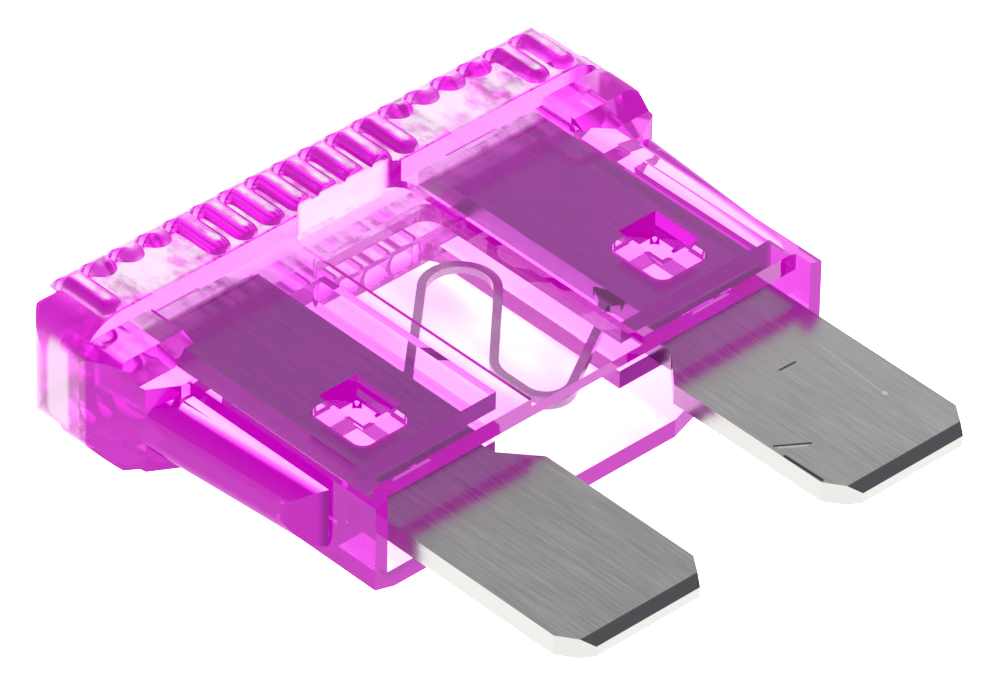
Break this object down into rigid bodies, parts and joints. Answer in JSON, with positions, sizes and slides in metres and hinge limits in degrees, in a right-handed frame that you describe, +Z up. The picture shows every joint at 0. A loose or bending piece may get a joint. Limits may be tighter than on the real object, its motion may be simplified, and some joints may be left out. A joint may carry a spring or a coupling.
{
  "type": "automotive blade fuse",
  "caption": "Regular size automotive blade fuse: a clear violet housing with a fluted grip, and a one-piece zinc element with blades and an S-shaped link.",
  "frame": {"origin": "below the middle of the bounding box, on the surface that the fuse lies on", "axes": "+X across the two blades, +Y from the blade tips towards the fluted head, +Z up through the thickness, out of the front wall"},
  "size_m": [0.0196, 0.0196, 0.0051],
  "materials": {
    "violet_clear_plastic": "clear moulding, tinted violet, glossy",
    "satin_zinc": "satin, with a fine grain along the blades"
  },
  "bodies": {
    "root": {"housing": "violet_clear_plastic", "fuse_element": "satin_zinc"}
  },
  "joints": []
}
